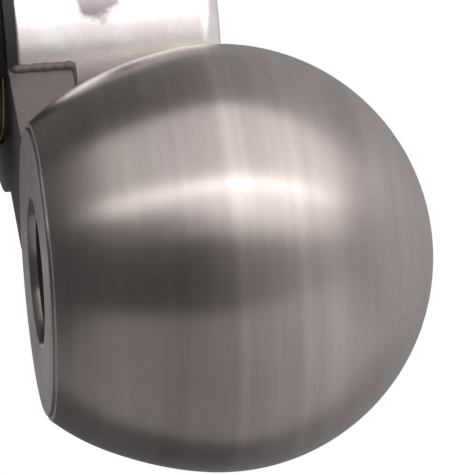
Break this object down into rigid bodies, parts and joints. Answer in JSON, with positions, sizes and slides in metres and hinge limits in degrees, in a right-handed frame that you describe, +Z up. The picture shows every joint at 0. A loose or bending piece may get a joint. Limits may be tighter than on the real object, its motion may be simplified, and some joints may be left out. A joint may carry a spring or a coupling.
{
  "type": "gooseneck hitch ball",
  "caption": "Swing-off gooseneck hitch ball on a pivot arm, with a flanged threaded shank, lock pin and clamping nut.",
  "frame": {"origin": "on the shank's axis at the flange's underside, which seats on the truck's plate", "axes": "+Z up along the shank and the ball's axis, -Y from the shank towards the pivot and the swung-off ball"},
  "size_m": [0.076, 0.169, 0.2083],
  "materials": {
    "turned_steel": "turned",
    "arm_steel": "machined",
    "weld_steel": "as welded",
    "polished_barrel": "polished",
    "cap_steel": "turned",
    "zinc_hardware": "zinc plated",
    "bronze": "turned",
    "yellow_zinc": "yellow zinc",
    "black_rubber": "matt",
    "forged_steel": "forged and machined",
    "ground_steel": "ground",
    "dark_hardware": "black oxide"
  },
  "bodies": {
    "base": {"flanged_shank": "forged_steel", "pivot_post": "ground_steel", "thrust_washer": "bronze", "retaining_washer": "zinc_hardware", "retaining_screw": "zinc_hardware", "stop_bumper": "black_rubber", "stop_screws": "zinc_hardware", "seat_ring": "ground_steel", "seat_screws": "zinc_hardware", "pin_bush": "bronze", "detent_screw": "dark_hardware", "detent_spring": "zinc_hardware", "detent_ball": "ground_steel", "end_plug": "dark_hardware"},
    "swing_head": {"ball": "turned_steel", "swing_arm": "arm_steel", "ball_weld": "weld_steel", "barrel_weld": "weld_steel", "pivot_barrel": "polished_barrel", "barrel_cap": "cap_steel", "cap_ring": "dark_hardware", "upper_bush": "bronze", "lower_bush": "bronze", "grease_nipple": "yellow_zinc", "dust_seal": "black_rubber"},
    "lock_plunger": {"lock_pin": "ground_steel", "pull_rod": "zinc_hardware", "roll_pin": "zinc_hardware", "rod_circlip": "dark_hardware"},
    "ring": {"pull_ring": "zinc_hardware"},
    "washer": {"lock_washer": "zinc_hardware"},
    "nut": {"hex_nut": "zinc_hardware"}
  },
  "joints": [
    {"name": "ball_swing", "type": "hinge", "parent": "base", "child": "swing_head", "pos_m": [0, -0.0508, 0.03], "axis": [0, 0, 1], "range_deg": [0, 180]},
    {"name": "lock_pin_lift", "type": "slide", "parent": "base", "child": "lock_plunger", "axis": [0, 0, 1], "range_m": [0, 0.015]},
    {"name": "ring_swing", "type": "hinge", "parent": "lock_plunger", "child": "ring", "pos_m": [0, 0, -0.106], "axis": [1, 0, 0], "range_deg": [-85, 85]},
    {"name": "nut_travel", "type": "slide", "parent": "base", "child": "washer", "axis": [0, 0, -1], "range_m": [-0.009, 0.019]},
    {"name": "nut_turn", "type": "hinge", "parent": "washer", "child": "nut", "pos_m": [0, 0, -0.045], "axis": [0, 0, -1], "range_deg": [-1500, 3200]}
  ],
  "couplings": [
    {"joint": "nut_travel", "follows": "nut_turn", "m_per_rad": 0.00033688}
  ]
}
